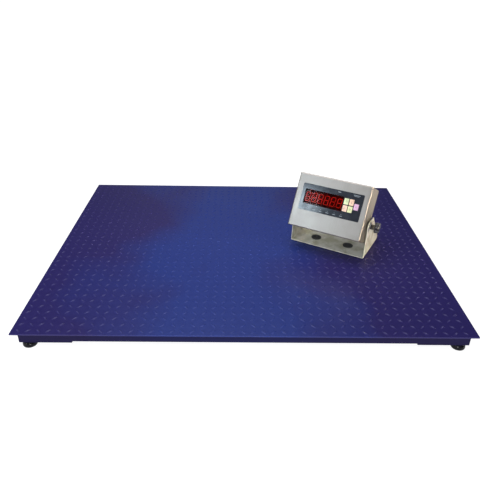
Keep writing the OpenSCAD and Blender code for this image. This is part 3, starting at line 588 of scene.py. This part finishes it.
PALE_INK = moulded("pale_ink", (0.20, 0.23, 0.26), 0.4, 0.00001, 900)
DARK_INK = moulded("dark_ink", (0.05, 0.05, 0.07), 0.4, 0.00001, 900)
INK_T = 0.00012
# The row of lamps under the window, each with a bar under it
LAMPS = 6
LAMP_PITCH = 0.028
LAMP_FIRST = -0.086
LAMP_RADIUS = 0.0010
LAMP_RISE = 0.004
# The bar: drop below the strip's middle, width and height
LOWER_BAR = (0.003, 0.011, 0.0022)
# The bars over the window: place along the strip, rise over the strip's middle, width and height
UPPER_BARS = (
    (0.027, 0.001, 0.011, 0.003),
    (0.097, 0.0015, 0.026, 0.0024),
    (0.097, -0.0025, 0.019, 0.0018),
)


def bar_outline(x, z, width, height):
    """A rectangle around a middle in X and Z."""
    w, h = width / 2, height / 2
    return [(x - w, z - h), (x + w, z - h), (x + w, z + h), (x - w, z + h)]


def overlay_marks(bm):
    """Plain bars where a maker prints words, and a row of small lamps under the window."""
    overlay = local_box("keypad_overlay")
    window = local_box("display_window")
    front = overlay.low.y - INK_T
    top = (window.high.z + overlay.high.z) / 2
    low = (window.low.z + overlay.low.z) / 2
    for x, rise, width, height in UPPER_BARS:
        slab(bm, bar_outline(x, top + rise, width, height), front, overlay.low.y)
    drop, width, height = LOWER_BAR
    for i in range(LAMPS):
        x = LAMP_FIRST + i * LAMP_PITCH
        slab(bm, bar_outline(x, low - drop, width, height), front, overlay.low.y)
        lamp = circle(Vector((x, low + LAMP_RISE)), LAMP_RADIUS, DOT_SIDES)
        slab(bm, lamp, front - INK_T, overlay.low.y)


mesh_piece("overlay_marks", "housing", "overlay_ink", overlay_marks, PALE_INK, False, HOUSING)


def ribbon(bm, points, width, front, back, closed=False):
    """A flat stroke of even width through points in X and Z."""
    rings = []
    count = len(points)
    for i in range(count):
        before = points[i - 1] if closed or i else points[i]
        after = points[(i + 1) % count] if closed or i < count - 1 else points[i]
        along = (Vector(after) - Vector(before)).normalized()
        side = Vector((-along.y, along.x)) * width / 2
        left, right = Vector(points[i]) + side, Vector(points[i]) - side
        corners = ((left, front), (right, front), (right, back), (left, back))
        rings.append([Vector((p.x, y, p.y)) for p, y in corners])
    loops = [[bm.verts.new(p) for p in ring] for ring in rings]
    last = count if closed else count - 1
    for i in range(last):
        a, b = loops[i], loops[(i + 1) % count]
        for k in range(4):
            bm.faces.new((a[k], a[(k + 1) % 4], b[(k + 1) % 4], b[k]))
    if not closed:
        bm.faces.new(loops[0])
        bm.faces.new(list(reversed(loops[-1])))


def arc(rx, rz, start, end, steps):
    """Points along an ellipse, from one angle to another in degrees."""
    angles = [math.radians(start + (end - start) * i / steps) for i in range(steps + 1)]
    return [(rx * math.cos(a), rz * math.sin(a)) for a in angles]


Stroke = namedtuple("Stroke", "points closed", defaults=(False,))
STROKE_WIDTH = 0.0007
COUNT_SPOTS = ((-2.4, -1.6), (2.4, -1.6), (0, 2.4))
SHEET = [(-2.6, -3.3), (2.6, -3.3), (2.6, 3.3), (-2.6, 3.3)]

# Each key's picture, as strokes in millimetres from the key's middle
ICONS = {
    "key_zero": [Stroke(arc(2.3, 3.3, 0, 342, 19), True)],
    "key_tare": [
        Stroke([(0, 3.6), (0, -1.4)]),
        Stroke([(-2, 0.6), (0, -1.6), (2, 0.6)]),
        Stroke([(-3.2, -3.4), (3.2, -3.4)]),
    ],
    "key_count": [
        Stroke([(x + spot_x, z + spot_z) for x, z in arc(1, 1, 0, 330, 11)], True)
        for spot_x, spot_z in COUNT_SPOTS
    ],
    "key_print": [Stroke(SHEET, True), Stroke([(-1.2, 1), (1.2, 1)]), Stroke([(-1.2, -1), (1.2, -1)])],
    "key_power": [Stroke(arc(2.8, 2.8, 125, 415, 18)), Stroke([(0, 3.8), (0, 0.8)])],
}


def key_icon(key):
    """Builds one key's picture on the key's front."""
    box = local_box(key)
    middle = (box.low + box.high) / 2

    def build(bm):
        for stroke in ICONS[key]:
            points = [(middle.x + x * MM, middle.z + z * MM) for x, z in stroke.points]
            ribbon(bm, points, STROKE_WIDTH, box.low.y - INK_T, box.low.y, stroke.closed)

    return build


for key in ICONS:
    mesh_piece(key + "_icon", key, "overlay_ink", key_icon(key), DARK_INK, False, HOUSING)


# ---------------------------------------------------------------- hand knob

KNOB_SIDES = 96
KNOB_LOBES = 6
# The radius between two lobes, as a share of the lobes' radius, and the lobes' power: less is fuller
VALLEY = 0.78
LOBE_POWER = 0.6
HUB_LENGTH = 0.017
HUB_RADIUS = 0.011
# Along the hub: distance from its inner end, and share of its radius
HUB = [(0.0, 0.93), (0.0006, 1.0), (HUB_LENGTH - 0.003, 1.0), (HUB_LENGTH - 0.001, 1.08)]
# Along the grip: distance from its inner end as a share of its length, radius share, lobe share.
# Its last ring is the face of the cap.
GRIP = [(0.0, 0.60, 0.0), (0.0, 0.86, 1.0), (0.05, 0.95, 1.0), (0.14, 1.0, 1.0), (0.80, 1.0, 1.0),
        (0.91, 0.97, 1.0), (0.97, 0.91, 1.0), (0.985, 0.80, 0.9), (0.93, 0.66, 0.3), (0.92, 0.46, 0.0),
        (1.0, 0.43, 0.0), (1.06, 0.41, 0.0), (1.09, 0.36, 0.0), (1.09, 0.05, 0.0)]


def knob(bm):
    """A six-lobed moulded knob with rounded edges, a dished face and a round cap."""
    box = local_box("clamp_knob")
    reach = max(box.high.y, box.high.z)
    start = box.low.x + HUB_LENGTH
    length = (box.high.x - start) / GRIP[-1][0]

    def ring(x, radius, lobed):
        points = []
        for i in range(KNOB_SIDES):
            a = 2 * math.pi * i / KNOB_SIDES
            crest = (0.5 + 0.5 * math.cos(KNOB_LOBES * a)) ** LOBE_POWER
            r = radius * (1 - lobed * (1 - VALLEY) * (1 - crest))
            points.append(Vector((x, r * math.cos(a), r * math.sin(a))))
        return points

    rings = [ring(box.low.x + along, HUB_RADIUS * share, 0) for along, share in HUB]
    rings += [ring(start + along * length, radius * reach, lobed) for along, radius, lobed in GRIP]
    loft(bm, rings)


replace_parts(mesh_piece("hand_knob", "clamp_knob", "knob_black", knob, turn=HOUSING), "clamp_knob")


# ---------------------------------------------------------------- feet

FOOT_SIDES = 64
# A foot's outline as shares of its radius and height, from the floor up to the stud's hole
FOOT_OUTLINE = [(0.86, 0.0), (0.93, 0.02), (0.975, 0.07), (0.995, 0.15), (1.0, 0.26), (0.985, 0.37),
                (0.95, 0.48), (0.89, 0.60), (0.81, 0.71), (0.70, 0.81), (0.57, 0.90), (0.44, 0.965),
                (0.35, 0.995), (0.31, 0.99), (0.28, 0.95), (0.27, 0.82)]


def foot(node):
    """Builds a foot's rounded cup."""
    low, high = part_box(node)
    middle = (low + high) / 2
    radius = (high.x - low.x) / 2

    def build(bm):
        rings = []
        for share, level in FOOT_OUTLINE:
            z = low.z + level * (high.z - low.z)
            rings.append([Vector((x, y, z)) for x, y in circle(middle, share * radius, FOOT_SIDES)])
        loft(bm, rings)

    return build


for corner in ("fl", "fr", "rl", "rr"):
    cad_cup = "foot_cup_" + corner
    cup = mesh_piece("foot_" + corner + "_cup", "foot_" + corner, "foot_black", foot(cad_cup))
    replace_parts(cup, cad_cup)


# ---------------------------------------------------------------- welds

# The thickness of the rails' sheet
RAIL_T = 0.004
# A channel's flanges are closer together than this, and two channels are further apart
RIB_REACH = 0.08
# How far the rows of beads stay from the load cells, and from the rails
CLEAR_OF_CELL = 0.02
CLEAR_OF_RAIL = 0.06
BEADS_ACROSS = 7
BEADS_DEEP = 6
BEAD_SIZE = 0.0045
BEAD_LENGTH = 0.045
BEAD_RIPPLE = 0.003
BEAD_SINK = 0.0004
BEAD_SIDES = 7
STEPS_PER_RIPPLE = 3
# A bead's ends taper over a sixth of its length, down to this share of its size
TAPER = 6
TAPER_LEAST = 0.15
# A bead's ripples and its face between its two edges, as shares of its size
RIPPLE_DEPTH = 0.10
FACE_EDGE = 0.72
FACE_CROWN = 0.10


def bead(bm, start, along, into_a, into_b):
    """A rippled fillet weld in the corner between two faces, which open towards into_a and into_b."""
    steps = int(BEAD_LENGTH / BEAD_RIPPLE * STEPS_PER_RIPPLE)
    rings = []
    for i in range(steps + 1):
        t = i / steps
        end = min(1.0, TAPER * t, TAPER * (1 - t)) ** 0.5
        wobble = 1 + RIPPLE_DEPTH * abs(math.sin(math.pi * t * BEAD_LENGTH / BEAD_RIPPLE))
        size = BEAD_SIZE * max(end, TAPER_LEAST) * wobble
        root = start + along * (t * BEAD_LENGTH)
        ring = [root - (into_a + into_b) * BEAD_SINK]
        for k in range(BEAD_SIDES):
            a = math.pi / 2 * k / (BEAD_SIDES - 1)
            at_edge = k in (0, BEAD_SIDES - 1)
            bulge = 1 if at_edge else FACE_EDGE + FACE_CROWN * math.sin(2 * a)
            ring.append(root + (into_a * math.cos(a) + into_b * math.sin(a)) * size * bulge)
        rings.append(ring)
    loft(bm, rings)


def stitches(bm, start, end, count, into_a, into_b):
    """Evenly spaced beads along a corner."""
    start, end = Vector(start), Vector(end)
    along = (end - start).normalized()
    for i in range(count):
        middle = start.lerp(end, (i + 0.5) / count)
        bead(bm, middle - along * BEAD_LENGTH / 2, along, Vector(into_a), Vector(into_b))


def welds(bm):
    """Stitch welds that join the rails and the channels to the underside of the deck."""
    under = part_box("deck_plate")[0].z
    down = (0, 0, -1)
    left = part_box("left_rail")[0].x + RAIL_T
    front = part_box("front_rail")[0].y + RAIL_T
    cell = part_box("load_cell_fl")[1]
    row_x, row_y = cell.x + CLEAR_OF_CELL, cell.y + CLEAR_OF_CELL
    for side in (1, -1):
        y = side * front
        stitches(bm, (row_x, y, under), (-row_x, y, under), BEADS_ACROSS, (0, side, 0), down)
    for side in (1, -1):
        x = side * left
        stitches(bm, (x, row_y, under), (x, -row_y, under), BEADS_DEEP, (side, 0, 0), down)
    row_y = front + CLEAR_OF_RAIL
    for x, side in rib_edges():
        stitches(bm, (x, row_y, under), (x, -row_y, under), BEADS_DEEP, (side, 0, 0), down)


def rib_edges():
    """Where each channel's outer edges are along X, and the side that each faces, -1 or 1."""
    xs = sorted({round(v.co.x, 4) for v in frame["nodes"]["deck_ribs"].data.vertices})
    channels = []
    for x in xs:
        if channels and x - channels[-1][0] < RIB_REACH:
            channels[-1].append(x)
        else:
            channels.append([x])
    return [(c[0], -1) for c in channels] + [(c[-1], 1) for c in channels]


mesh_piece("frame_welds", "platform", "frame_paint", welds)


# The CAD nodes whose edges show, and the width of their rounding
soften(("deck_plate",), 0.0008)
soften(("bracket", "rear_cover"), 0.0006)
soften(("front_rail", "rear_rail", "left_rail", "right_rail"), 0.0012)
soften(tuple(ICONS), 0.0003)
soften(("bracket_grommets", "power_switch", "power_rocker", "keypad_overlay"), 0.0003)


# ---------------------------------------------------------------- camera, light and floor

CAMERA_AT = Vector((-0.0333, -1.8793, 1.1424))
CAMERA_PITCH = math.radians(29.2025)
CAMERA_YAW = math.radians(1.022)
CAMERA_ROLL = math.radians(1.070)
CAMERA_LENS = 37.9
CAMERA_REACH = 200
SENSOR = 36.0

# The studio's light: direction, angles of its full and faded edge, colour
AMBIENT = (0.055, 0.058, 0.065)
STUDIO = [
    ((-0.35, -0.85, 0.30), 35, 88, (0.46, 0.47, 0.48)),
    ((0, 0, 1), 10, 40, (0.8, 0.8, 0.8)),
    ((-0.03, 0.93, 0.37), 0, 18, (0.50, 0.52, 0.46)),
]
FLOOR_SIZE = 30
FLOOR_GAP = 0.0003
FLOOR_WHITE = (0.30, 0.30, 0.30)
FLOOR_GLOW = 0.93
# How far from the overlay the lamp is that it mirrors
GLARE_DISTANCE = 2.0


def make_camera():
    """The scene's camera, from its place, yaw, pitch, roll and lens."""
    data = bpy.data.cameras.new("camera")
    data.lens = CAMERA_LENS
    data.sensor_width = SENSOR
    data.clip_end = CAMERA_REACH
    camera = bpy.data.objects.new("camera", data)
    camera.matrix_world = (
        Matrix.Translation(CAMERA_AT)
        @ Matrix.Rotation(-CAMERA_YAW, 4, "Z")
        @ Matrix.Rotation(math.pi / 2 - CAMERA_PITCH, 4, "X")
        @ Matrix.Rotation(CAMERA_ROLL, 4, "Z")
    )
    bpy.context.scene.collection.objects.link(camera)
    bpy.context.scene.camera = camera


def soft_box(name, at, target, size, radiance, color=(1, 1, 1), spread=180):
    """A rectangular area light of an even radiance, hidden from the camera itself."""
    data = bpy.data.lights.new(name, "AREA")
    data.shape = "RECTANGLE"
    data.size, data.size_y = size
    data.energy = math.pi * size[0] * size[1] * radiance
    data.color = color
    data.spread = math.radians(spread)
    light = bpy.data.objects.new(name, data)
    aim = Vector(target) - Vector(at)
    light.matrix_world = Matrix.Translation(at) @ aim.to_track_quat("-Z", "Y").to_matrix().to_4x4()
    light.visible_camera = False
    bpy.context.scene.collection.objects.link(light)


def make_world():
    """A dark studio with a large white reflector behind the camera, a soft top and a faint back glow.
    The camera itself sees a white backdrop there."""
    world = bpy.data.worlds.new("studio")
    bpy.context.scene.world = world
    world.use_nodes = True
    s = Shader(world, world.node_tree, world.node_tree.nodes["Background"])
    direction = add(s, "ShaderNodeTexCoord").outputs["Generated"]
    total = None
    for axis, inner, outer, color in STUDIO:
        dot = add(s, "ShaderNodeVectorMath", operation="DOT_PRODUCT")
        dot.inputs[1].default_value = Vector(axis).normalized()
        join(s, direction, dot.inputs[0])
        lobe = add(s, "ShaderNodeMapRange", interpolation_type="SMOOTHSTEP")
        lobe.inputs["From Min"].default_value = math.cos(math.radians(outer))
        lobe.inputs["From Max"].default_value = math.cos(math.radians(inner))
        join(s, dot.outputs["Value"], lobe.inputs["Value"])
        light = add(s, "ShaderNodeVectorMath", operation="MULTIPLY_ADD")
        light.inputs[1].default_value = color
        join(s, lobe.outputs["Result"], light.inputs[0])
        if total is None:
            light.inputs[2].default_value = AMBIENT
        else:
            join(s, total, light.inputs[2])
        total = light.outputs["Vector"]
    backdrop = add(s, "ShaderNodeMix", data_type="RGBA")
    backdrop.inputs["B"].default_value = (1, 1, 1, 1)
    join(s, add(s, "ShaderNodeLightPath").outputs["Is Camera Ray"], backdrop.inputs["Factor"])
    join(s, total, backdrop.inputs["A"])
    join(s, backdrop.outputs["Result"], s.surface.inputs["Color"])


def make_floor():
    """A plain white floor that glows a little, as one lit from all round does."""
    bm = bmesh.new()
    bmesh.ops.create_grid(bm, x_segments=8, y_segments=8, size=FLOOR_SIZE)
    mesh = bpy.data.meshes.new("floor")
    bm.to_mesh(mesh)
    bm.free()
    floor = bpy.data.objects.new("floor", mesh)
    floor.location.z = -FLOOR_GAP
    s = shader("floor_white", FLOOR_WHITE, 0.9, Specular_IOR_Level=0.1, Emission_Strength=FLOOR_GLOW)
    s.surface.inputs["Emission Color"].default_value = (1, 1, 1, 1)
    mesh.materials.append(s.material)
    bpy.context.scene.collection.objects.link(floor)


def mirrored(point, distance):
    """A place that the camera sees in the housing's face at point, as in a mirror."""
    ray = (point - CAMERA_AT).normalized()
    return point + (ray - 2 * ray.dot(INTO) * INTO) * distance


make_camera()
make_world()
make_floor()
OVERLAY_LEFT = HOUSING @ local_box("keypad_overlay").low
GLARE_AT = mirrored(OVERLAY_LEFT, GLARE_DISTANCE)
# Each lamp's name, place, target, size, radiance, and its colour and spread in degrees where it has them
soft_box("window_glare", GLARE_AT, OVERLAY_LEFT, (0.26, 0.36), 17, (0.70, 0.87, 1.0))
soft_box("low_lamp", (-0.05, -2.6, 0.45), (0, -0.6, 0), (0.36, 0.36), 45)
soft_box("left_lamp", (-2.6, -2.6, 0.7), (0, -0.6, 0), (0.55, 0.55), 10)
soft_box("overhead", (-0.16, 0.0, 1.5), (-0.16, 0.0, 0), (1.2, 0.9), 4.3)
soft_box("warm_side", (2.35, -0.80, 0.40), PIVOT, (0.5, 0.4), 1.45, (1.0, 0.84, 0.60), 20)
bpy.context.scene.view_settings.view_transform = "Standard"
